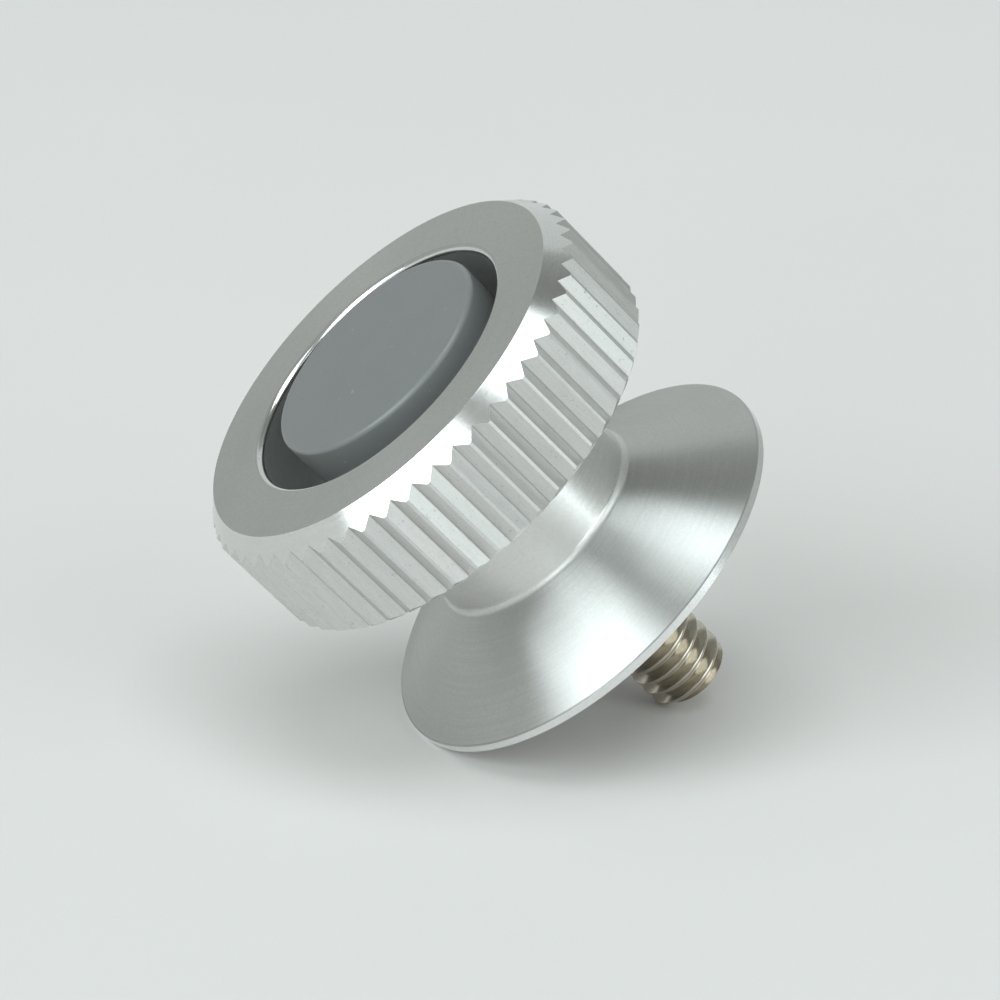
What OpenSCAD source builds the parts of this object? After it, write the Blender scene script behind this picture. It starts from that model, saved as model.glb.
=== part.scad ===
// Knurled screw: a turned aluminium knob with a knurled head, a neck and a conical flange,
// a soft grey insert set in its head, and a steel threaded stud in its foot.
// It lies on the rim of its flange and the tip of its stud, as it comes to rest on a table.

/* [Head] */
// Diameter over the crests of the knurl
head_d = 20; // [17:0.1:26]
// Height of the head
head_h = 5.5; // [4:0.1:9]
// How far the bevel round the face reaches in
bevel_in = 0.84; // [0.4:0.02:1.2]
// How far the same bevel reaches down
bevel_down = 0.9; // [0.4:0.02:1.4]
// Edge break under the head
under_break = 0.25; // [0.1:0.05:0.6]

/* [Knurl] */
// Number of grooves round the head
groove_count = 54; // [36:1:72]
// Depth of a groove
groove_depth = 0.32; // [0.1:0.02:0.5]
// Flat left on each crest
crest_w = 0.1; // [0.04:0.02:0.3]
// Turn of the knurl about the axis of the knob, in degrees
knurl_turn = 1.7; // [0:0.1:6]

/* [Recess in the face] */
// Diameter of the recess
recess_d = 13; // [10:0.1:15]
// Thickness of the head left under the recess
recess_floor = 2; // [1:0.1:3]
// Edge break at the mouth of the recess
lip_break = 0.2; // [0.1:0.05:0.4]

/* [Insert] */
// Gap between the insert and the wall of the recess, when centred
insert_gap = 1.2; // [0.6:0.05:2]
// How far off centre the insert is seated
insert_shift = 0.3; // [0:0.05:0.4]
// How far the insert stands out of the face
insert_proud = 0.45; // [0.1:0.05:1.5]
// Radius of the insert's top edge
insert_round = 0.4; // [0.1:0.05:0.8]

/* [Neck and flange] */
// Diameter of the neck
neck_d = 10; // [7:0.1:12]
// Length of the neck between the head and the cone
neck_h = 4.85; // [3:0.05:10]
// Fillet at both ends of the neck
neck_fillet = 0.35; // [0.1:0.05:0.8]
// Diameter of the flange
flange_d = 20; // [16:0.1:30]
// Height of the rim of the flange
rim_h = 0.42; // [0.3:0.02:2]
// How far the edge break on the rim reaches in
rim_break = 0.08; // [0.04:0.02:0.2]
// How far the same edge break reaches along the rim
rim_break_h = 0.04; // [0.02:0.02:0.14]
// Slope of the cone above the rim, in degrees
cone_angle = 30.5; // [15:0.5:45]

/* [Stud] */
// Nominal diameter of the thread
thread_d = 4; // [3:0.5:5]
// Pitch of the thread
thread_pitch = 0.7; // [0.5:0.05:0.8]
// How far the crests of the stud lie inside the nominal diameter
crest_drop = 0.05; // [0:0.01:0.1]
// Length of stud below the flange
stud_out = 7.6; // [5:0.1:12]
// Length of stud inside the knob
stud_in = 6.4; // [4:0.1:8]
// How far the edge break on both ends of the stud reaches in
tip_break = 0.2; // [0.1:0.05:0.5]
// How far the same edge break reaches along the stud
tip_break_h = 0.25; // [0.1:0.05:0.5]
// Clearance of the stud in its hole
stud_gap = 0.02; // [0.01:0.01:0.05]
// Width of the bevel left at the mouth of the hole, clear of the crests
mouth_break = 0.2; // [0.1:0.05:0.5]

/* [Hidden] */
$fn = 96;

// Point angle of the drill that made the stud's hole
drill_point = 118;
// How far a cutter runs past the surface that it opens
overrun = 0.5;
// How far the arc of a fillet cuts into the walls that it joins
fillet_sink = 0.002;

// Radii
head_r = head_d / 2;
neck_r = neck_d / 2;
flange_r = flange_d / 2;
recess_r = recess_d / 2;
insert_r = recess_r - insert_gap;
crest_r = thread_d / 2 - crest_drop;
tip_r = crest_r - tip_break;
// The engaged thread is drawn at its pitch diameter, in the hole and on the stud alike
hole_r = thread_d / 2 - 3 * sqrt(3) / 16 * thread_pitch;
shank_r = hole_r - stud_gap;
mouth_r = crest_r + mouth_break;

// Heights along the axis of the knob, from the underside of the flange
cone_top = rim_h + (flange_r - rim_break - neck_r) * tan(cone_angle);
fillet_reach = neck_fillet / tan((90 + cone_angle) / 2);
head_under = cone_top + neck_h;
face_z = head_under + head_h;
recess_z = head_under + recess_floor;
insert_top = face_z + insert_proud;
drill_z = stud_in + hole_r / tan(drill_point / 2);

// Corners of the outline that can touch the table or reach furthest, as radius and height
rim_corners = [[flange_r - rim_break, 0], [flange_r, rim_break_h]];
tip_corners = [[tip_r, -stud_out], [crest_r, tip_break_h - stud_out]];
head_corners = [[head_r, face_z - bevel_down], [head_r - bevel_in, face_z]];
corners = concat(rim_corners, tip_corners, head_corners);

// The table touches the rim and the tip: the axis leans until both are on it
lean = max([for (p = rim_corners) min([for (t = tip_corners) atan2(p.x - t.x, p.y - t.y)])]);
rest_low = min([for (c = corners) c.y * sin(lean) - c.x * cos(lean)]);
rest_left = min([for (c = corners) -c.y * cos(lean) - c.x * sin(lean)]);
rest_right = max([for (c = corners) -c.y * cos(lean) + c.x * sin(lean)]);

// Puts what is built upright on its axis down on the table, stud to the right
module at_rest() {
    translate([-(rest_left + rest_right) / 2, 0, -rest_low])
        rotate([0, lean - 90, 0])
            children();
}

// The knob as it leaves the lathe, before it is knurled, bored and drilled
module turned_blank() {
    rotate_extrude()
        difference() {
            polygon([
                [0, 0],
                [flange_r - rim_break, 0],
                [flange_r, rim_break_h],
                [flange_r, rim_h - rim_break_h],
                [flange_r - rim_break, rim_h],
                [neck_r + fillet_reach * cos(cone_angle), cone_top - fillet_reach * sin(cone_angle)],
                [neck_r, cone_top + fillet_reach],
                [neck_r, head_under - neck_fillet],
                [neck_r + neck_fillet, head_under],
                [head_r - under_break, head_under],
                [head_r, head_under + under_break],
                [head_r, face_z - bevel_down],
                [head_r - bevel_in, face_z],
                [0, face_z]
            ]);
            for (z = [cone_top + fillet_reach, head_under - neck_fillet])
                translate([neck_r + neck_fillet, z])
                    circle(neck_fillet + fillet_sink);
        }
}

// One straight groove of V section, through the whole height of the head
module knurl_groove() {
    half_w = (PI * head_d / groove_count - crest_w) / 2;
    translate([0, 0, head_under - overrun])
        linear_extrude(head_h + 2 * overrun)
            polygon([
                [head_r - groove_depth, 0],
                [head_r, -half_w],
                [head_r + overrun, -half_w],
                [head_r + overrun, half_w],
                [head_r, half_w]
            ]);
}

// Round recess in the face of the head, with its lip broken
module recess() {
    rotate_extrude()
        polygon([
            [0, recess_z],
            [recess_r, recess_z],
            [recess_r, face_z - lip_break],
            [recess_r + lip_break, face_z],
            [recess_r + lip_break, face_z + overrun],
            [0, face_z + overrun]
        ]);
}

// Blind hole for the stud, with its mouth bevelled and its drill point
module stud_hole() {
    rotate_extrude()
        polygon([
            [0, -overrun],
            [mouth_r, -overrun],
            [mouth_r, 0],
            [hole_r, mouth_r - hole_r],
            [hole_r, stud_in],
            [0, drill_z]
        ]);
}

module body() {
    color("#c9cdcc")
        at_rest()
            difference() {
                turned_blank();
                for (i = [0 : groove_count - 1])
                    rotate(knurl_turn + i * 360 / groove_count)
                        knurl_groove();
                recess();
                stud_hole();
            }
}

module insert() {
    color("#7c8384")
        at_rest()
            translate([insert_shift, 0, recess_z])
                rotate_extrude() {
                    square([insert_r - insert_round, insert_top - recess_z]);
                    square([insert_r, insert_top - recess_z - insert_round]);
                    translate([insert_r - insert_round, insert_top - recess_z - insert_round])
                        circle(insert_round);
                }
}

module stud() {
    color("#8d8a84")
        at_rest()
            rotate_extrude()
                polygon([
                    [0, -stud_out],
                    [tip_r, -stud_out],
                    [crest_r, tip_break_h - stud_out],
                    [crest_r, 0],
                    [shank_r, 0],
                    [shank_r, stud_in - tip_break_h],
                    [shank_r - tip_break, stud_in],
                    [0, stud_in]
                ]);
}

body();
insert();
stud();
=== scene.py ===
"""Looks of a knurled screw: a turned knob, its grey insert and its threaded stud, at rest on a pale table.

Sizes are in millimetres and angles in degrees, unless a name or a docstring says otherwise. Pieces are
built upright on the screw's axis, with the underside of the flange at height 0, and then laid down as the
screw rests.
"""

import logging
import math
from collections import Counter
from dataclasses import dataclass, field
from enum import Enum
from typing import Callable, Sequence

import bmesh
import bpy
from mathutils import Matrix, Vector


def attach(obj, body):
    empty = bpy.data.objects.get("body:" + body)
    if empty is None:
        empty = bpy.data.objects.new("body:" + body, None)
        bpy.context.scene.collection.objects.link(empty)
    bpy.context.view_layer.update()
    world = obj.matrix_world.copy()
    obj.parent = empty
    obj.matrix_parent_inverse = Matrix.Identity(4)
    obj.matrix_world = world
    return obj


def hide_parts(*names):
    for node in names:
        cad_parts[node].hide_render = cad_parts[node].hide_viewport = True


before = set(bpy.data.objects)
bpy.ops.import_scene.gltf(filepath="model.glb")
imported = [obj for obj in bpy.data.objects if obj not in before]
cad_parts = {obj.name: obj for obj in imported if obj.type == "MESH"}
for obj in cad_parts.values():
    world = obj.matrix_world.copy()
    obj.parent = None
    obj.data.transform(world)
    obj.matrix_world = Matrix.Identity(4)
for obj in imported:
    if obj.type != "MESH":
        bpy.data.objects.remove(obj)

LOG = logging.getLogger("knurled_screw")
MM = 0.001
ORIGIN = (0.0, 0.0, 0.0)
# The spin operator turns clockwise about its axis, so the axis points down
SPIN_AXIS = (0.0, 0.0, -1.0)
# Places closer together than this are the same
HAIR = 0.001
# How far a place may lie off a size and still count as on it
NEAR = 0.01
# Least upward share of the normal on the face of the head, and on its bevel
LEVEL = 0.97
SLOPED = 0.3
# Turn of a highlight from the tangent, in whole turns, that stretches it across the marks of the tool
ACROSS_MARKS = 0.25
# A mix node names its sockets for colours as it does those for numbers, so they are told by their index
MIX_SHARE, MIX_FIRST, MIX_SECOND, MIX_RESULT = 0, 6, 7, 2
Object = bpy.types.Object
Socket = bpy.types.NodeSocket
Colour = tuple[float, float, float]


class Element(Enum):
    """What is picked in edit mode."""

    VERT = "VERT"
    FACE = "FACE"


class Zone(Enum):
    """Parts of the knob's surface that were finished in different ways; some also have light or shade
    painted into their colour.
    """

    FACE = "face"
    BEVEL = "bevel"
    KNURL = "knurl"
    CREST = "crest"
    LIP = "lip"
    RECESS = "recess"
    NECK = "neck"
    FILLET = "fillet"
    CONE = "cone"
    RIM = "rim"
    EDGE = "edge"
    PLAIN = "plain"


class Feed(Enum):
    """The way the turning tool was fed, which the marks it left lie across."""

    ACROSS = "across"
    ALONG = "along"


class Combine(Enum):
    """What is done to a piece with a tool solid."""

    ADD = "UNION"
    TRIM = "INTERSECT"


class SizeFile(Enum):
    """Where the two boxes of the part would be written; it has no members, and nothing writes them."""



@dataclass(frozen=True)
class Rest:
    """How the screw lies: the lean of its axis over the table and the place of the middle of its flange."""

    lean: float = 47.19844
    seat_x: float = 4.351304
    seat_z: float = 6.765264

    @property
    def tilt(self) -> float:
        """Turn about Y that takes an upright screw to its rest, in radians."""
        return math.radians(self.lean - 90.0)

    @property
    def seat(self) -> Vector:
        """Middle of the flange's underside, in metres."""
        return Vector((self.seat_x, 0.0, self.seat_z)) * MM

    @property
    def axis(self) -> Vector:
        """Direction of the screw's axis, from the flange to the head."""
        return Vector((math.sin(self.tilt), 0.0, math.cos(self.tilt)))

    def lay_down(self, piece: Object, turn: float = 0.0) -> None:
        """Turns an upright piece about its axis and lays it down, with its place kept in its mesh.

        Args:
            piece: The upright piece.
            turn: Turn about its own axis first.
        """
        choose(piece)
        piece.rotation_euler = (0.0, 0.0, math.radians(turn))
        bpy.ops.object.transform_apply(location=True, rotation=True, scale=True)
        piece.rotation_euler = (0.0, self.tilt, 0.0)
        piece.location = self.seat
        bpy.ops.object.transform_apply(location=True, rotation=True, scale=True)


REST = Rest()


@dataclass(frozen=True)
class Corner:
    """One corner of a turned outline: its radius, its height and the radius that it is rounded to."""

    r: float
    z: float
    soft: float = 0.0

    @property
    def place(self) -> Vector:
        """The corner as a point of the XZ plane, in millimetres."""
        return Vector((self.r, 0.0, self.z))


def choose(piece: Object) -> None:
    """Leaves edit mode, deselects everything and makes one piece the selected and active one.

    Args:
        piece: The piece to work on.
    """
    if bpy.context.object and bpy.context.object.mode != "OBJECT":
        bpy.ops.object.mode_set(mode="OBJECT")
    bpy.ops.object.select_all(action="DESELECT")
    piece.select_set(True)
    bpy.context.view_layer.objects.active = piece


def edit(piece: Object) -> None:
    """Opens one piece in edit mode."""
    choose(piece)
    bpy.ops.object.mode_set(mode="EDIT")


def pick(piece: Object, test: Callable[[Vector, Vector], bool], kind: Element) -> None:
    """Selects what passes a test of its place and normal, and nothing else. The piece is in edit mode.

    Args:
        piece: The piece in edit mode.
        test: Given a place in metres and a normal, says whether to select.
        kind: Vertices or faces.
    """
    bpy.ops.mesh.select_mode(type=kind.value)
    bpy.ops.mesh.select_all(action="DESELECT")
    shape = bmesh.from_edit_mesh(piece.data)
    if kind is Element.VERT:
        for vert in shape.verts:
            vert.select_set(test(vert.co, vert.normal))
    else:
        for face in shape.faces:
            face.select_set(test(face.calc_center_median(), face.normal))
    shape.select_flush_mode()
    bmesh.update_edit_mesh(piece.data)


def close_up(piece: Object) -> None:
    """Merges the doubled vertices of a piece, turns its faces outwards and leaves edit mode.

    Args:
        piece: The piece in edit mode.
    """
    bpy.ops.mesh.select_mode(type="VERT")
    bpy.ops.mesh.select_all(action="SELECT")
    bpy.ops.mesh.remove_doubles(threshold=HAIR * MM)
    bpy.ops.mesh.normals_make_consistent(inside=False)
    bpy.ops.object.mode_set(mode="OBJECT")
    LOG.info("%s is closed, with %d faces", piece.name, len(piece.data.polygons))


def drop_fins(piece: Object) -> None:
    """Deletes faces that lie back to back on the same vertices.

    Args:
        piece: The piece in object mode.
    """
    edit(piece)
    bpy.ops.mesh.select_mode(type="FACE")
    bpy.ops.mesh.select_all(action="DESELECT")
    shape = bmesh.from_edit_mesh(piece.data)
    corners = {face: frozenset(face.verts) for face in shape.faces}
    shared = Counter(corners.values())
    for face, verts in corners.items():
        face.select_set(shared[verts] > 1)
    shape.select_flush_mode()
    bmesh.update_edit_mesh(piece.data)
    bpy.ops.mesh.delete(type="FACE")
    bpy.ops.object.mode_set(mode="OBJECT")


def soften(corners: Sequence[Corner], step: float = 12.0, guard: float = 0.04) -> list[Vector]:
    """Rounds the corners of an outline that ask for it.

    Args:
        corners: The outline.
        step: Largest turn from one facet of a rounding to the next.
        guard: Distance of the extra points that keep the flats beside a rounding flat.

    Returns:
        Points of the outline in millimetres, in the XZ plane.
    """
    line = [corners[0].place]
    for before, corner, after in zip(corners, corners[1:], corners[2:]):
        if corner.soft <= 0.0:
            line.append(corner.place)
            continue
        back = (before.place - corner.place).normalized()
        ahead = (after.place - corner.place).normalized()
        turn = math.pi - back.angle(ahead)
        reach = corner.soft * math.tan(turn / 2.0)
        middle = corner.place + (back + ahead).normalized() * (corner.soft / math.cos(turn / 2.0))
        start = (corner.place + back * reach - middle).normalized()
        end = (corner.place + ahead * reach - middle).normalized()
        steps = max(2, math.ceil(math.degrees(turn) / step))
        line.append(corner.place + back * (reach + guard))
        line.extend(middle + start.slerp(end, i / steps) * corner.soft for i in range(steps + 1))
        line.append(corner.place + ahead * (reach + guard))
    line.append(corners[-1].place)
    return line


def draw_outline(name: str, line: Sequence[Vector]) -> Object:
    """Draws an open outline in the XZ plane by extruding one vertex from point to point.

    Args:
        name: Name of the new piece.
        line: Points in millimetres.

    Returns:
        The piece, in edit mode, with the whole outline selected.
    """
    if bpy.context.object and bpy.context.object.mode != "OBJECT":
        bpy.ops.object.mode_set(mode="OBJECT")
    bpy.ops.object.select_all(action="DESELECT")
    bpy.ops.mesh.primitive_plane_add(size=MM, location=ORIGIN)
    piece = bpy.context.object
    piece.name = name
    piece.data.name = name
    edit(piece)
    bpy.ops.mesh.select_mode(type="VERT")
    bpy.ops.mesh.select_all(action="SELECT")
    bpy.ops.mesh.merge(type="CENTER")
    bpy.ops.transform.translate(value=line[0] * MM)
    for here, there in zip(line, line[1:]):
        bpy.ops.mesh.extrude_region_move(TRANSFORM_OT_translate={"value": (there - here) * MM})
    bpy.ops.mesh.select_all(action="SELECT")
    return piece


def turn_solid(name: str, corners: Sequence[Corner], columns: int) -> Object:
    """Turns a plain solid from its outline.

    Args:
        name: Name of the new piece.
        corners: Outline that starts and ends on the axis.
        columns: Faces round the solid.

    Returns:
        The piece, in object mode.
    """
    piece = draw_outline(name, soften(corners))
    bpy.ops.mesh.spin(steps=columns, angle=math.tau, center=ORIGIN, axis=SPIN_AXIS)
    close_up(piece)
    return piece


def combine(piece: Object, tool: Object, way: Combine) -> None:
    """Adds a tool solid to a piece, or trims the piece to it, and takes the tool away.

    Args:
        piece: The piece that is kept.
        tool: The solid that is used up.
        way: What is done with it.
    """
    choose(piece)
    cut = piece.modifiers.new(name="cut", type="BOOLEAN")
    cut.object = tool
    cut.operation = way.value
    cut.solver = "EXACT"
    bpy.ops.object.modifier_apply(modifier=cut.name)
    bpy.data.objects.remove(tool, do_unlink=True)


def smooth(piece: Object, angle: float) -> None:
    """Shades a piece smooth, with the edges sharper than an angle kept sharp."""
    choose(piece)
    bpy.ops.object.shade_smooth_by_angle(angle=math.radians(angle))


def toned(colour: Colour, factor: float) -> tuple[float, float, float, float]:
    """A colour made darker or lighter by a factor, with the alpha that a colour socket asks for."""
    return (*(min(1.0, c * factor) for c in colour), 1.0)


class FinishNodes:
    """Adds and joins the nodes of one finish."""

    def __init__(self, name: str) -> None:
        """Starts a material with a principled shader.

        Args:
            name: Name of the material.
        """
        self.material = bpy.data.materials.new(name)
        self.material.use_nodes = True
        self.tree = self.material.node_tree
        self.tree.nodes.clear()
        output = self.add("ShaderNodeOutputMaterial")
        self.shader = self.add("ShaderNodeBsdfPrincipled")
        self.join(output, "Surface", self.shader.outputs["BSDF"])

    def add(self, kind: str, **settings: object) -> bpy.types.Node:
        """Adds one node.

        Args:
            kind: Blender's name for the kind of node.
            **settings: Its own settings.

        Returns:
            The node.
        """
        node = self.tree.nodes.new(kind)
        for key, value in settings.items():
            setattr(node, key, value)
        return node

    def join(self, node: bpy.types.Node, socket: str | int, value: object) -> None:
        """Joins a socket to an input of a node, or sets a plain value on it.

        Args:
            node: The node that is joined.
            socket: Its input.
            value: Another node's output, or a value.
        """
        if isinstance(value, Socket):
            self.tree.links.new(value, node.inputs[socket])
        else:
            node.inputs[socket].default_value = value

    def sum(self, operation: str, *values: object) -> Socket:
        """One step of arithmetic on numbers.

        Args:
            operation: Name of the step.
            *values: Its numbers or sockets.

        Returns:
            The result.
        """
        node = self.add("ShaderNodeMath", operation=operation)
        for i, value in enumerate(values):
            self.join(node, i, value)
        return node.outputs[0]

    def vector(self, operation: str, *values: object) -> bpy.types.Node:
        """One step of arithmetic on vectors.

        Args:
            operation: Name of the step.
            *values: Its vectors or sockets.

        Returns:
            The node.
        """
        node = self.add("ShaderNodeVectorMath", operation=operation)
        for i, value in enumerate(values):
            self.join(node, i, value)
        return node

    def spread(
        self, value: Socket, low: float = 0.3, high: float = 0.7, to_low: float = 0.0, to_high: float = 1.0
    ) -> Socket:
        """Maps a range of numbers on another one, smoothly, and holds it at both ends.

        Args:
            value: What is mapped.
            low: Start of its range, by default where most of a noise starts.
            high: End of its range, by default where most of a noise ends.
            to_low: Result at the start.
            to_high: Result at the end.

        Returns:
            The result.
        """
        node = self.add("ShaderNodeMapRange", interpolation_type="SMOOTHSTEP")
        sockets = ("Value", "From Min", "From Max", "To Min", "To Max")
        for socket, number in zip(sockets, (value, low, high, to_low, to_high)):
            self.join(node, socket, number)
        return node.outputs["Result"]

    def blend(self, share: object, first: object, second: object) -> Socket:
        """Mixes two colours.

        Args:
            share: Share of the second colour.
            first: A colour or socket.
            second: A colour or socket.

        Returns:
            The mixed colour.
        """
        node = self.add("ShaderNodeMix", data_type="RGBA")
        for socket, value in ((MIX_SHARE, share), (MIX_FIRST, first), (MIX_SECOND, second)):
            self.join(node, socket, value)
        return node.outputs[MIX_RESULT]

    def noise(self, where: Socket, scale: float, detail: float = 2.0, rough: float = 0.5) -> Socket:
        """Soft noise in space.

        Args:
            where: Coordinates.
            scale: How many swells fit in one unit.
            detail: Number of finer layers.
            rough: Strength of the finer layers.

        Returns:
            Noise from 0 to 1.
        """
        node = self.add("ShaderNodeTexNoise")
        sockets = ("Vector", "Scale", "Detail", "Roughness")
        for socket, value in zip(sockets, (where, scale, detail, rough)):
            self.join(node, socket, value)
        return node.outputs["Fac"]

    def bump(self, height: Socket, depth: float, strength: float = 1.0) -> None:
        """Raises the surface by a height from 0 to 1.

        Args:
            height: The height.
            depth: What a height of 1 stands for.
            strength: Share of it that shows.
        """
        node = self.add("ShaderNodeBump")
        for socket, value in (("Height", height), ("Distance", depth * MM), ("Strength", strength)):
            self.join(node, socket, value)
        self.join(self.shader, "Normal", node.outputs["Normal"])

    def place(self) -> Socket:
        """Object coordinates, in metres."""
        return self.add("ShaderNodeTexCoord").outputs["Object"]

    def upright(self) -> Socket:
        """Turns object coordinates upright on the screw's axis.

        Returns:
            The coordinates, in millimetres.
        """
        turn = self.add("ShaderNodeMapping", vector_type="TEXTURE")
        self.join(turn, "Vector", self.place())
        self.join(turn, "Location", REST.seat)
        self.join(turn, "Rotation", (0.0, REST.tilt, 0.0))
        self.join(turn, "Scale", (MM, MM, MM))
        return turn.outputs["Vector"]

    def off_axis(self, where: Socket) -> tuple[Socket, Socket]:
        """Finds how far a place lies off the screw's axis.

        Args:
            where: Upright coordinates.

        Returns:
            The way from the axis to the place, and its length.
        """
        arm = self.vector("MULTIPLY", where, (1.0, 1.0, 0.0)).outputs[0]
        return arm, self.vector("LENGTH", arm).outputs["Value"]

    def round_axis(self) -> Socket:
        """Finds the direction round the screw's axis, along which a lathe leaves its marks.

        Returns:
            The direction, of length 1.
        """
        arm = self.vector("SUBTRACT", self.place(), REST.seat)
        ring = self.vector("CROSS_PRODUCT", REST.axis, arm.outputs[0])
        return self.vector("NORMALIZE", ring.outputs[0]).outputs[0]


@dataclass(frozen=True)
class TurnedMetal:
    """Bare metal from the lathe, with the marks that the tool left round the axis."""

    name: str
    colour: Colour
    roughness: float
    feed: Feed = Feed.ACROSS
    anisotropy: float = 0.8
    rough_swing: float = 0.06
    marks_per_mm: float = 16.0
    mark_depth: float = 0.00006
    mark_tone: float = 0.03
    grain_per_mm: float = 7.0
    grain_depth: float = 0.00006
    grain_tone: float = 0.04
    blotches_per_mm: float = 0.35
    blotch_tone: float = 0.03
    blotch_share: float = 0.5

    def make(self) -> bpy.types.Material:
        """Makes the finish.

        Returns:
            Its material.
        """
        nodes = FinishNodes(self.name)
        where = nodes.upright()
        arm, radius = nodes.off_axis(where)
        height = nodes.add("ShaderNodeSeparateXYZ")
        nodes.join(height, 0, where)
        along = radius if self.feed is Feed.ACROSS else height.outputs["Z"]
        lift = nodes.add("ShaderNodeCombineXYZ")
        nodes.join(lift, "Z", nodes.sum("MULTIPLY", along, self.marks_per_mm))
        heading = nodes.vector("NORMALIZE", arm).outputs[0]
        track = nodes.vector("ADD", heading, lift.outputs[0]).outputs[0]
        marks = nodes.noise(track, scale=1.0, detail=3.0, rough=0.65)
        grain = nodes.noise(where, self.grain_per_mm, detail=3.0, rough=0.6)
        blotch = nodes.noise(where, self.blotches_per_mm)

        dark = toned(self.colour, 1.0 - self.mark_tone)
        light = toned(self.colour, 1.0 + self.mark_tone)
        colour = nodes.blend(nodes.spread(marks), dark, light)
        stain = toned(self.colour, 1.0 - 2.0 * self.blotch_tone)
        colour = nodes.blend(nodes.spread(blotch, 0.45, 0.75, to_high=self.blotch_share), colour, stain)
        speck = toned(self.colour, 1.0 - 2.0 * self.grain_tone)
        colour = nodes.blend(nodes.spread(grain, 0.4, 0.75), colour, speck)
        nodes.join(nodes.shader, "Base Color", colour)
        nodes.join(nodes.shader, "Metallic", 1.0)
        swing = self.roughness * self.rough_swing
        rough = nodes.spread(marks, 0.25, 0.75, self.roughness - swing, self.roughness + swing)
        nodes.join(nodes.shader, "Roughness", rough)
        nodes.join(nodes.shader, "Anisotropic", self.anisotropy)
        nodes.join(nodes.shader, "Anisotropic Rotation", ACROSS_MARKS)
        nodes.join(nodes.shader, "Tangent", nodes.round_axis())
        relief = nodes.sum("MULTIPLY_ADD", grain, self.grain_depth / self.mark_depth, marks)
        nodes.bump(relief, self.mark_depth)
        return nodes.material


@dataclass(frozen=True)
class KnurledMetal:
    """Bare metal pressed by a knurling wheel: drawn flanks, pits, and painted shade in the bottoms of the
    grooves.
    """

    name: str
    colour: Colour
    roughness: float = 0.37
    rough_swing: float = 0.05
    streaks_per_mm: tuple[float, float, float] = (9.0, 9.0, 0.9)
    streak_share: float = 0.4
    grain_per_mm: float = 22.0
    grain_tone: float = 0.07
    grain_share: float = 0.6
    pits_per_mm: float = 7.0
    pit_depth: float = 0.006
    pit_tone: float = 0.5
    pit_share: float = 0.5
    bottom_r: float = 9.68
    # Colour, reach and strength of the painted shade in the bottoms of the grooves
    groove_shade: Colour = (0.2, 0.16, 0.12)
    groove_shade_rise: float = 0.035
    groove_shade_share: float = 0.4

    def make(self) -> bpy.types.Material:
        """Makes the finish.

        Returns:
            Its material.
        """
        nodes = FinishNodes(self.name)
        where = nodes.upright()
        _, radius = nodes.off_axis(where)
        drawn = nodes.noise(nodes.vector("MULTIPLY", where, self.streaks_per_mm).outputs[0], scale=1.0)
        pits = nodes.spread(nodes.noise(where, self.pits_per_mm, detail=3.0, rough=0.6), 0.62, 0.72)
        grain = nodes.spread(nodes.noise(where, self.grain_per_mm))
        streak = nodes.sum("MULTIPLY", nodes.spread(drawn), self.streak_share)
        tone = nodes.sum("MULTIPLY_ADD", grain, self.grain_share, streak)

        dark = toned(self.colour, 1.0 - self.grain_tone)
        light = toned(self.colour, 1.0 + self.grain_tone)
        colour = nodes.blend(tone, dark, light)
        pitted = nodes.sum("MULTIPLY", pits, self.pit_share)
        colour = nodes.blend(pitted, colour, toned(self.colour, self.pit_tone))
        # Painted shade: the colour darkens towards the bottom of each groove
        deep = nodes.spread(radius, self.bottom_r, self.bottom_r + self.groove_shade_rise, self.groove_shade_share, 0.0)
        nodes.join(nodes.shader, "Base Color", nodes.blend(deep, colour, toned(self.groove_shade, 1.0)))
        nodes.join(nodes.shader, "Metallic", 1.0)
        swing = self.roughness * self.rough_swing
        rough = nodes.spread(drawn, 0.25, 0.75, self.roughness - swing, self.roughness + swing)
        nodes.join(nodes.shader, "Roughness", rough)
        nodes.bump(nodes.sum("SUBTRACT", 1.0, pits), self.pit_depth)
        return nodes.material


@dataclass(frozen=True)
class MattePlastic:
    """Moulded grey plastic with a fine matte grain and a little dust."""

    name: str = "grey_insert_matte"
    colour: Colour = (0.141, 0.146, 0.1445)
    roughness: float = 0.28
    rough_swing: float = 0.1
    grain_per_mm: float = 14.0
    grain_depth: float = 0.002
    grain_strength: float = 0.6
    clouds_per_mm: float = 0.6
    cloud_tone: float = 0.015
    dust_per_mm: float = 3.1
    dust_tone: float = 2.0
    dust_share: float = 0.55

    def make(self) -> bpy.types.Material:
        """Makes the finish.

        Returns:
            Its material.
        """
        nodes = FinishNodes(self.name)
        where = nodes.upright()
        grain = nodes.noise(where, self.grain_per_mm, detail=3.0, rough=0.6)
        cloud = nodes.noise(where, self.clouds_per_mm, detail=3.0)
        dark = toned(self.colour, 1.0 - self.cloud_tone)
        light = toned(self.colour, 1.0 + self.cloud_tone)
        colour = nodes.blend(nodes.spread(cloud), dark, light)
        specks = nodes.noise(where, self.dust_per_mm, rough=0.4)
        dust = nodes.spread(specks, 0.74, 0.79, to_high=self.dust_share)
        colour = nodes.blend(dust, colour, toned(self.colour, self.dust_tone))
        nodes.join(nodes.shader, "Base Color", colour)
        rough = nodes.spread(cloud, to_low=self.roughness, to_high=self.roughness + self.rough_swing)
        nodes.join(nodes.shader, "Roughness", rough)
        nodes.bump(grain, self.grain_depth, self.grain_strength)
        return nodes.material


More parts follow.
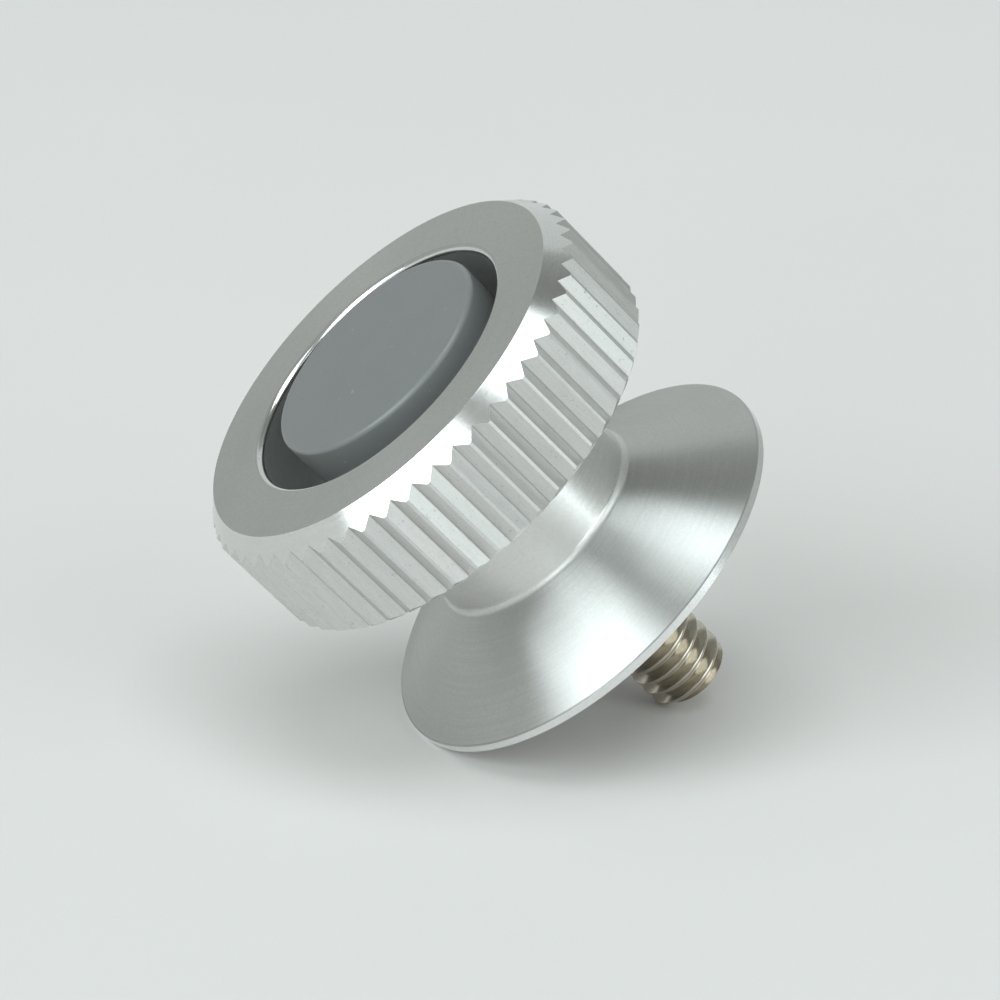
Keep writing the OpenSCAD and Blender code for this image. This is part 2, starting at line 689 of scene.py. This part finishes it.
@dataclass(frozen=True)
class PaleTable:
    """Smooth pale table top."""

    name: str = "pale_table"
    colour: Colour = (0.62, 0.599, 0.586)
    roughness: float = 0.8
    gloss: float = 0.2
    clouds_per_m: float = 25.0
    cloud_tone: float = 0.015

    def make(self) -> bpy.types.Material:
        """Makes the finish.

        Returns:
            Its material.
        """
        nodes = FinishNodes(self.name)
        cloud = nodes.noise(nodes.place(), self.clouds_per_m)
        dark = toned(self.colour, 1.0 - self.cloud_tone)
        light = toned(self.colour, 1.0 + self.cloud_tone)
        nodes.join(nodes.shader, "Base Color", nodes.blend(cloud, dark, light))
        nodes.join(nodes.shader, "Roughness", self.roughness)
        nodes.join(nodes.shader, "Specular IOR Level", self.gloss)
        return nodes.material


# Colours of the bare metal in the zones of the knob; the rim's lighter colour is a painted highlight, and
# the darker colours of the rim's top edge, the recess and the undersides are painted shade
ALUMINIUM = (0.71, 0.71, 0.694)
SATIN = (0.7, 0.7, 0.678)
KNURLED = (0.645, 0.645, 0.635)
RIM_HIGHLIGHT = (0.85, 0.86, 0.855)
SHADED_ALUMINIUM = (0.525, 0.53, 0.52)
RIM_EDGE_SHADE = (0.51, 0.49, 0.49)
Finish = TurnedMetal | KnurledMetal


@dataclass
class Knob:
    """The turned body: knurled head, neck and conical flange, with its recess and the hole of its stud."""

    name: str = "turned_knob"
    head_r: float = 10.0
    head_h: float = 5.5
    bevel_in: float = 0.84
    bevel_down: float = 0.9
    face_edge: float = 0.03
    under_break: float = 0.25
    groove_count: int = 54
    groove_depth: float = 0.32
    crest_w: float = 0.1
    knurl_turn: float = 1.7
    recess_r: float = 6.5
    recess_floor: float = 2.0
    lip_round: float = 0.28
    neck_r: float = 5.0
    neck_h: float = 4.85
    neck_fillet: float = 0.35
    flange_r: float = 10.0
    rim_h: float = 0.42
    rim_break: float = 0.08
    rim_break_h: float = 0.04
    cone_angle: float = 30.5
    hole_r: float = 1.77267
    mouth_r: float = 2.15
    hole_depth: float = 6.4
    drill_point: float = 118.0
    flank_columns: int = 3
    smooth_angle: float = 25.0
    finishes: dict[Zone, Finish] = field(
        default_factory=lambda: {
            Zone.FACE: TurnedMetal(
                "knob_face_satin", SATIN, 0.3, anisotropy=0.6, marks_per_mm=24.0, mark_tone=0.02
            ),
            Zone.BEVEL: TurnedMetal(
                "knob_bevel_bright", ALUMINIUM, 0.2, anisotropy=0.6, mark_depth=0.00001, grain_depth=0.00001
            ),
            Zone.KNURL: KnurledMetal("knob_knurl", KNURLED),
            Zone.CREST: TurnedMetal("knob_crest", KNURLED, 0.55, Feed.ALONG, anisotropy=0.3),
            Zone.LIP: TurnedMetal("knob_lip", ALUMINIUM, 0.15, anisotropy=0.4),
            # The wall and floor of the recess take a darker copy of the aluminium: painted shade in the
            # recess
            Zone.RECESS: TurnedMetal("knob_recess_shaded", SHADED_ALUMINIUM, 0.45, Feed.ALONG, anisotropy=0.2),
            Zone.NECK: TurnedMetal("knob_neck_satin", ALUMINIUM, 0.24, Feed.ALONG, anisotropy=0.85),
            Zone.FILLET: TurnedMetal("knob_fillet_satin", ALUMINIUM, 0.46, Feed.ALONG, anisotropy=0.5),
            Zone.CONE: TurnedMetal(
                "knob_cone_turned", ALUMINIUM, 0.42, anisotropy=1.0, marks_per_mm=10.0, mark_tone=0.06
            ),
            # The rim band takes a lighter copy of the aluminium: a painted highlight
            Zone.RIM: TurnedMetal(
                "knob_rim_highlight", RIM_HIGHLIGHT, 0.26, Feed.ALONG, anisotropy=0.0, grain_depth=0.0
            ),
            # The top edge of the rim takes a darker copy of the aluminium: a painted dark reflection line
            Zone.EDGE: TurnedMetal("knob_rim_edge_shade", RIM_EDGE_SHADE, 0.3, anisotropy=0.0),
            # The flange's underside, the stud's hole and the head's underside take a darker copy of the
            # aluminium: painted shade under the knob
            Zone.PLAIN: TurnedMetal("knob_underside_shaded", SHADED_ALUMINIUM, 0.34, anisotropy=0.6),
        }
    )

    @property
    def cone_top(self) -> float:
        """Height at which the cone would meet the neck without its fillet."""
        reach = self.flange_r - self.rim_break - self.neck_r
        return self.rim_h + reach * math.tan(math.radians(self.cone_angle))

    @property
    def head_under(self) -> float:
        """Height of the underside of the head."""
        return self.cone_top + self.neck_h

    @property
    def face_z(self) -> float:
        """Height of the face of the head."""
        return self.head_under + self.head_h

    @property
    def recess_z(self) -> float:
        """Height of the floor of the recess."""
        return self.head_under + self.recess_floor

    def corners(self) -> list[Corner]:
        """Gives the outline of the knob as turned.

        Returns:
            Its corners, from the point of the stud's hole round to the floor of the recess.
        """
        drill_z = self.hole_depth + self.hole_r / math.tan(math.radians(self.drill_point / 2.0))
        return [
            Corner(0.0, drill_z),
            Corner(self.hole_r, self.hole_depth),
            Corner(self.hole_r, self.mouth_r - self.hole_r),
            Corner(self.mouth_r, 0.0),
            Corner(self.flange_r - self.rim_break, 0.0),
            Corner(self.flange_r, self.rim_break_h),
            Corner(self.flange_r, self.rim_h - self.rim_break_h),
            Corner(self.flange_r - self.rim_break, self.rim_h),
            Corner(self.neck_r, self.cone_top, self.neck_fillet),
            Corner(self.neck_r, self.head_under, self.neck_fillet),
            Corner(self.head_r - self.under_break, self.head_under),
            Corner(self.head_r, self.head_under + self.under_break),
            Corner(self.head_r, self.face_z - self.bevel_down),
            Corner(self.head_r - self.bevel_in, self.face_z, self.face_edge),
            Corner(self.recess_r, self.face_z, self.lip_round),
            Corner(self.recess_r, self.recess_z),
            Corner(0.0, self.recess_z),
        ]

    def flank(self) -> list[tuple[float, float]]:
        """One groove of the knurl, from crest to crest.

        Returns:
            Turn from the first crest's edge, in degrees, and radius there, for each column.
        """
        bottom = self.head_r - self.groove_depth
        half_w = (math.tau * self.head_r / self.groove_count - self.crest_w) / 2.0
        square = self.groove_depth**2 + half_w**2
        cross = bottom * self.groove_depth
        rise = (math.sqrt(cross**2 + square * (self.head_r**2 - bottom**2)) - cross) / square
        half = []
        for i in range(self.flank_columns + 1):
            share = rise * i / self.flank_columns
            across, out = half_w * share, bottom + self.groove_depth * share
            half.append((math.degrees(math.atan2(across, out)), math.hypot(across, out)))
        edge = half[-1][0]
        return [(edge - a, r) for a, r in reversed(half)] + [(edge + a, r) for a, r in half[1:]]

    def press_groove(self, piece: Object) -> None:
        """Presses the groove into one sector of the knob, column by column.

        Args:
            piece: The sector, in edit mode.
        """
        under, top = self.head_under, self.face_z - self.bevel_down
        flat_r = self.head_r - self.under_break
        for turn, r in self.flank()[1:-1]:
            moves = (
                (flat_r, under, min(r, flat_r), under),
                (self.head_r, under + self.under_break, r, under + max(0.0, r - flat_r)),
                (self.head_r, top, r, top + (self.head_r - r) * self.bevel_down / self.bevel_in),
            )
            way = Vector((math.cos(math.radians(turn)), math.sin(math.radians(turn)), 0.0))
            for old_r, old_z, new_r, new_z in moves:
                spot = (way * old_r + Vector((0.0, 0.0, old_z))) * MM
                move = (way * (new_r - old_r) + Vector((0.0, 0.0, new_z - old_z))) * MM
                pick(piece, lambda co, _: (co - spot).length < NEAR * MM, Element.VERT)
                bpy.ops.transform.translate(value=move)

    def build(self) -> Object:
        """Builds the knob from one sector of its head, one groove wide.

        Returns:
            The knob, laid down.
        """
        pitch = 360.0 / self.groove_count
        columns = [turn for turn, _ in self.flank()] + [pitch]
        piece = draw_outline(self.name, soften(self.corners()))
        for here, there in zip(columns, columns[1:]):
            step = math.radians(there - here)
            bpy.ops.mesh.spin(steps=1, angle=step, center=ORIGIN, axis=SPIN_AXIS)
        self.press_groove(piece)
        bpy.ops.mesh.select_all(action="SELECT")
        bpy.ops.mesh.spin(
            steps=self.groove_count - 1,
            dupli=True,
            angle=math.radians(360.0 - pitch),
            center=ORIGIN,
            axis=SPIN_AXIS,
        )
        close_up(piece)
        smooth(piece, self.smooth_angle)
        self.dress(piece)
        REST.lay_down(piece, self.knurl_turn - self.flank()[self.flank_columns][0])
        return piece

    def zone(self, place: Vector, normal: Vector) -> Zone:
        """Tells which zone a face of the upright knob belongs to.

        Args:
            place: Middle of the face, in metres.
            normal: Its normal.

        Returns:
            The zone.
        """
        r, z = place.xy.length / MM, place.z / MM
        if z > self.head_under + HAIR:
            if r < self.recess_r + self.lip_round:
                return Zone.LIP if z > self.face_z - self.lip_round else Zone.RECESS
            if normal.z > LEVEL:
                return Zone.FACE
            if normal.z > SLOPED:
                return Zone.BEVEL
            return Zone.CREST if r > self.head_r - NEAR else Zone.KNURL
        if r < self.mouth_r + NEAR or z < HAIR:
            return Zone.PLAIN
        if z < self.rim_h:
            return Zone.RIM if z < self.rim_h - self.rim_break_h else Zone.EDGE
        if r < self.neck_r + self.neck_fillet + 2.0 * NEAR:
            return Zone.NECK if r < self.neck_r + NEAR else Zone.FILLET
        return Zone.CONE if z < self.cone_top else Zone.PLAIN

    def dress(self, piece: Object) -> None:
        """Gives each zone of the upright knob its finish.

        Args:
            piece: The knob, still upright.
        """
        for i, (zone, finish) in enumerate(self.finishes.items()):
            choose(piece)
            piece.data.materials.append(finish.make())
            piece.active_material_index = i
            edit(piece)
            pick(piece, lambda co, no: self.zone(co, no) is zone, Element.FACE)
            bpy.ops.object.material_slot_assign()
        bpy.ops.object.mode_set(mode="OBJECT")

    def fit(self) -> Object:
        """Builds the knob and puts it in the place of its CAD node.

        Returns:
            The knob.
        """
        piece = self.build()
        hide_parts("body")
        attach(piece, "root")
        return piece


@dataclass
class Insert:
    """The grey moulded button in the recess of the head."""

    name: str = "grey_button"
    radius: float = 5.3
    floor_z: float = 10.168116
    top_z: float = 14.118116
    edge: float = 0.24
    floor_edge: float = 0.05
    shift: float = 0.3
    columns: int = 160
    smooth_angle: float = 30.0
    finish: MattePlastic = field(default_factory=MattePlastic)

    def build(self) -> Object:
        """Builds the button and seats it off centre.

        Returns:
            The button, laid down.
        """
        piece = turn_solid(
            self.name,
            [
                Corner(0.0, self.floor_z),
                Corner(self.radius, self.floor_z, self.floor_edge),
                Corner(self.radius, self.top_z, self.edge),
                Corner(0.0, self.top_z),
            ],
            self.columns,
        )
        edit(piece)
        bpy.ops.mesh.select_all(action="SELECT")
        bpy.ops.transform.translate(value=(self.shift * MM, 0.0, 0.0))
        smooth(piece, self.smooth_angle)
        self.dress(piece)
        REST.lay_down(piece)
        return piece

    def dress(self, piece: Object) -> None:
        """Gives the button its finish."""
        piece.data.materials.append(self.finish.make())

    def fit(self) -> Object:
        """Builds the button and puts it in the place of its CAD node.

        Returns:
            The button.
        """
        piece = self.build()
        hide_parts("insert")
        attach(piece, "root")
        return piece


@dataclass
class Stud:
    """The steel stud with its helical thread, and the shank that is screwed into the knob."""

    name: str = "threaded_stud"
    crest_r: float = 1.95
    crest_fall: float = 0.015
    crest_share: float = 0.45
    root_r: float = 1.52
    root_rise: float = 0.03
    hollow_rise: float = 0.006
    hollow_share: float = 0.55
    flank_angle: float = 30.0
    pitch: float = 0.7
    out: float = 7.6
    inside: float = 6.4
    shank_r: float = 1.75267
    tip_in: float = 0.2
    tip_along: float = 0.25
    thread_end: float = 0.1
    thread_turn: float = 0.0
    lead_in_turns: float = 1.5
    spare_turns: int = 2
    cutter_below: float = 0.2
    cutter_beside: float = 0.3
    cutter_above: float = 1.0
    cut_slack: float = 0.0001
    sliver: float = 0.0005
    columns: int = 96
    smooth_angle: float = 28.0
    finish: TurnedMetal = field(
        default_factory=lambda: TurnedMetal(
            "stud_stainless_warm_reflection",
            # Steel grey with a warm tint painted in: partly the steel's own colour, partly a painted warm
            # reflection
            (0.56, 0.515, 0.435),
            0.17,
            Feed.ALONG,
            anisotropy=0.2,
            marks_per_mm=14.0,
            mark_depth=0.0004,
            mark_tone=0.12,
            grain_depth=0.0006,
        )
    )

    def thread_line(self) -> list[Vector]:
        """Gives one pitch of the thread's section, with its root and crest rounded off.

        Returns:
            Its points, from root to root.
        """
        flank = self.crest_r - self.root_r - self.root_rise - self.crest_fall
        run = flank * math.tan(math.radians(self.flank_angle))
        middle = self.pitch / 2.0
        foot = (middle - run) / 2.0
        half = [
            (self.root_r, 0.0),
            (self.root_r + self.hollow_rise, foot * self.hollow_share),
            (self.root_r + self.root_rise, foot),
            (self.crest_r - self.crest_fall, foot + run),
            (self.crest_r, middle - foot * self.crest_share),
            (self.crest_r, middle),
        ]
        line = half + [(r, self.pitch - z) for r, z in reversed(half[:-1])]
        return [Vector((r, 0.0, z)) for r, z in line]

    def wind_thread(self) -> Object:
        """Winds the thread and cuts it to length.

        Returns:
            The thread, closed at both ends.
        """
        start = Vector((0.0, 0.0, -self.out - self.lead_in_turns * self.pitch))
        piece = draw_outline(self.name, [point + start for point in self.thread_line()])
        choose(piece)
        wind = piece.modifiers.new(name="wind", type="SCREW")
        wind.axis = "Z"
        wind.angle = math.tau
        wind.screw_offset = self.pitch * MM
        wind.iterations = math.ceil((self.out + self.thread_end) / self.pitch) + self.spare_turns
        wind.steps = wind.render_steps = self.columns
        wind.use_merge_vertices = True
        wind.merge_threshold = HAIR * MM
        bpy.ops.object.modifier_apply(modifier=wind.name)
        edit(piece)
        for z, way in ((-self.out, -1.0), (self.thread_end, 1.0)):
            bpy.ops.mesh.select_all(action="SELECT")
            bpy.ops.mesh.bisect(
                plane_co=(0.0, 0.0, z * MM),
                plane_no=(0.0, 0.0, way),
                use_fill=True,
                clear_outer=True,
                threshold=self.cut_slack * MM,
            )
        close_up(piece)
        return piece

    def make_cutter(self) -> Object:
        """Turns the solid that the thread is cut to, which breaks the edge of its tip.

        Returns:
            The solid.
        """
        low = -self.out - self.cutter_below
        narrow = self.crest_r - self.tip_in - self.cutter_below * self.tip_in / self.tip_along
        wide = self.crest_r + self.cutter_beside
        shoulder = -self.out + self.tip_along * (1.0 + self.cutter_beside / self.tip_in)
        corners = [
            Corner(0.0, low),
            Corner(narrow, low),
            Corner(wide, shoulder),
            Corner(wide, self.cutter_above),
            Corner(0.0, self.cutter_above),
        ]
        return turn_solid("tip_cutter", corners, self.columns)

    def make_shank(self) -> Object:
        """Turns the plain end that is screwed into the knob.

        Returns:
            The shank.
        """
        corners = [
            Corner(0.0, 0.0),
            Corner(self.shank_r, 0.0),
            Corner(self.shank_r, self.inside - self.tip_along),
            Corner(self.shank_r - self.tip_in, self.inside),
            Corner(0.0, self.inside),
        ]
        return turn_solid("shank", corners, self.columns)

    def build(self) -> Object:
        """Winds the thread, breaks the edge of its tip and joins the shank to it.

        Returns:
            The stud, laid down.
        """
        piece = self.wind_thread()
        combine(piece, self.make_cutter(), Combine.TRIM)
        combine(piece, self.make_shank(), Combine.ADD)
        edit(piece)
        bpy.ops.mesh.select_all(action="SELECT")
        bpy.ops.mesh.quads_convert_to_tris(quad_method="BEAUTY", ngon_method="BEAUTY")
        bpy.ops.mesh.dissolve_degenerate(threshold=self.sliver * MM)
        close_up(piece)
        drop_fins(piece)
        smooth(piece, self.smooth_angle)
        self.dress(piece)
        REST.lay_down(piece, self.thread_turn)
        return piece

    def dress(self, piece: Object) -> None:
        """Gives the stud its finish."""
        piece.data.materials.clear()
        piece.data.materials.append(self.finish.make())

    def fit(self) -> Object:
        """Builds the stud and puts it in the place of its CAD node.

        Returns:
            The stud.
        """
        piece = self.build()
        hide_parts("stud")
        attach(piece, "root")
        return piece


@dataclass
class Lamp:
    """One soft lamp panel, placed by its bearing from the screw. Its distance and sizes are in metres."""

    name: str
    bearing: float
    rise: float
    distance: float
    width: float
    height: float
    radiance: float
    faces_down: bool = False
    aim_z: float = 0.011
    tint: Colour = (0.89, 0.985, 1.0)

    def hang(self, camera_azimuth: float) -> Object:
        """Hangs the lamp and points it at the screw.

        Args:
            camera_azimuth: Azimuth of the camera, from which the bearing is counted, to the right.

        Returns:
            The lamp.
        """
        turn = math.radians(camera_azimuth)
        toward = Vector((math.sin(turn), -math.cos(turn), 0.0))
        right = Vector((math.cos(turn), math.sin(turn), 0.0))
        bearing, rise = math.radians(self.bearing), math.radians(self.rise)
        way = (toward * math.cos(bearing) + right * math.sin(bearing)) * math.cos(rise)
        way += Vector((0.0, 0.0, math.sin(rise)))
        light = bpy.data.lights.new(self.name, "AREA")
        light.shape = "RECTANGLE"
        light.size, light.size_y = self.width, self.height
        # A panel shows a radiance of its power over four times its area
        light.energy = 4.0 * self.width * self.height * self.radiance
        light.color = self.tint
        lamp = bpy.data.objects.new(self.name, light)
        bpy.context.scene.collection.objects.link(lamp)
        lamp.location = way * self.distance + Vector((0.0, 0.0, self.aim_z))
        if self.faces_down:
            lamp.rotation_euler = (0.0, 0.0, turn)
        else:
            lamp.rotation_euler = way.to_track_quat("Z", "Y").to_euler()
        return lamp


@dataclass
class Studio:
    """The pale table, the grey room round it and its lamps."""

    table_size: float = 9000.0
    table_cuts: int = 3
    horizon: float = 0.46
    shoulder: float = 0.41
    shoulder_at: float = 0.78
    zenith: float = 0.264
    zenith_at: float = 0.93
    room_tint: Colour = (0.945, 1.0, 0.965)
    table: PaleTable = field(default_factory=PaleTable)
    lamps: list[Lamp] = field(
        default_factory=lambda: [
            Lamp("overhead_panel", -32.3, 75.8, 1.55, 0.75, 0.95, 2.45, faces_down=True),
            Lamp("overhead_side_panel", 39.0, 66.4, 1.64, 0.52, 0.78, 3.0, faces_down=True),
            Lamp("left_softbox", -40.5, 24.3, 3.0, 3.6, 2.1, 3.35),
            Lamp("right_softbox", 46.5, 22.5, 3.0, 2.6, 2.3, 1.3),
            Lamp("back_panel", 180.0, 24.0, 2.4, 2.1, 2.4, 0.235),
        ]
    )

    def lay_table(self) -> Object:
        """Lays the table top under the screw.

        Returns:
            The table.
        """
        bpy.ops.object.select_all(action="DESELECT")
        bpy.ops.mesh.primitive_plane_add(size=self.table_size * MM, location=ORIGIN)
        table = bpy.context.object
        table.name = "pale_table"
        edit(table)
        bpy.ops.mesh.select_all(action="SELECT")
        bpy.ops.mesh.subdivide(number_cuts=self.table_cuts)
        choose(table)
        table.data.materials.append(self.table.make())
        return table

    def paint_room(self) -> None:
        """Gives the room its grey, lighter at the walls than overhead."""
        world = bpy.data.worlds.new("grey_room")
        bpy.context.scene.world = world
        world.use_nodes = True
        tree = world.node_tree
        tree.nodes.clear()
        where = tree.nodes.new("ShaderNodeTexCoord")
        height = tree.nodes.new("ShaderNodeSeparateXYZ")
        ramp = tree.nodes.new("ShaderNodeValToRGB")
        back = tree.nodes.new("ShaderNodeBackground")
        output = tree.nodes.new("ShaderNodeOutputWorld")
        tree.links.new(where.outputs["Generated"], height.inputs[0])
        tree.links.new(height.outputs["Z"], ramp.inputs["Fac"])
        tree.links.new(ramp.outputs["Color"], back.inputs["Color"])
        tree.links.new(back.outputs["Background"], output.inputs["Surface"])
        stops = ramp.color_ramp.elements
        stops[0].position = 0.0
        stops[1].position = self.zenith_at
        stops.new(self.shoulder_at)
        for stop, level in zip(stops, (self.horizon, self.shoulder, self.zenith)):
            stop.color = toned(self.room_tint, level)

    def light_up(self, camera_azimuth: float) -> None:
        """Sets up the table, the room and the lamps.

        Args:
            camera_azimuth: Azimuth of the camera, from which lamps are placed.
        """
        self.lay_table()
        self.paint_room()
        for lamp in self.lamps:
            LOG.info("lamp %s hung", lamp.hang(camera_azimuth).name)


@dataclass
class Viewpoint:
    """The camera, placed from the middle of the head's face. Its near and far limits are in metres."""

    azimuth: float = -18.96
    elevation: float = 18.47
    face_middle: tuple[float, float, float] = (-4.93564, 0.0, 16.79371)
    depth: float = 188.7
    aside: float = 5.229
    below: float = 5.631
    lens: float = 161.78
    sensor: float = 36.0
    near: float = 0.005
    far: float = 20.0

    def set_up(self) -> Object:
        """Sets up the camera and makes it the scene's own.

        Returns:
            The camera.
        """
        a, e = math.radians(self.azimuth), math.radians(self.elevation)
        back = Vector((math.sin(a) * math.cos(e), -math.cos(a) * math.cos(e), math.sin(e)))
        right = Vector((math.cos(a), math.sin(a), 0.0))
        up = back.cross(right)
        lens = bpy.data.cameras.new("photo_camera")
        lens.lens = self.lens
        lens.sensor_width = self.sensor
        lens.clip_start = self.near
        lens.clip_end = self.far
        camera = bpy.data.objects.new("photo_camera", lens)
        bpy.context.scene.collection.objects.link(camera)
        place = Vector(self.face_middle) + back * self.depth + right * self.aside - up * self.below
        camera.location = place * MM
        camera.rotation_euler = back.to_track_quat("Z", "Y").to_euler()
        bpy.context.scene.camera = camera
        return camera


def main() -> None:
    """Builds the pieces in order, dresses them and sets up the studio."""
    logging.basicConfig(level=logging.INFO, format="%(name)s: %(message)s")
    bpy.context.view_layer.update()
    bpy.context.scene.view_settings.view_transform = "Standard"
    view = Viewpoint()
    view.set_up()
    Studio().light_up(view.azimuth)
    for maker in (Knob(), Insert(), Stud()):
        piece = maker.fit()
        LOG.info("%s made, %d faces", piece.name, len(piece.data.polygons))


if __name__ == "__main__":
    main()
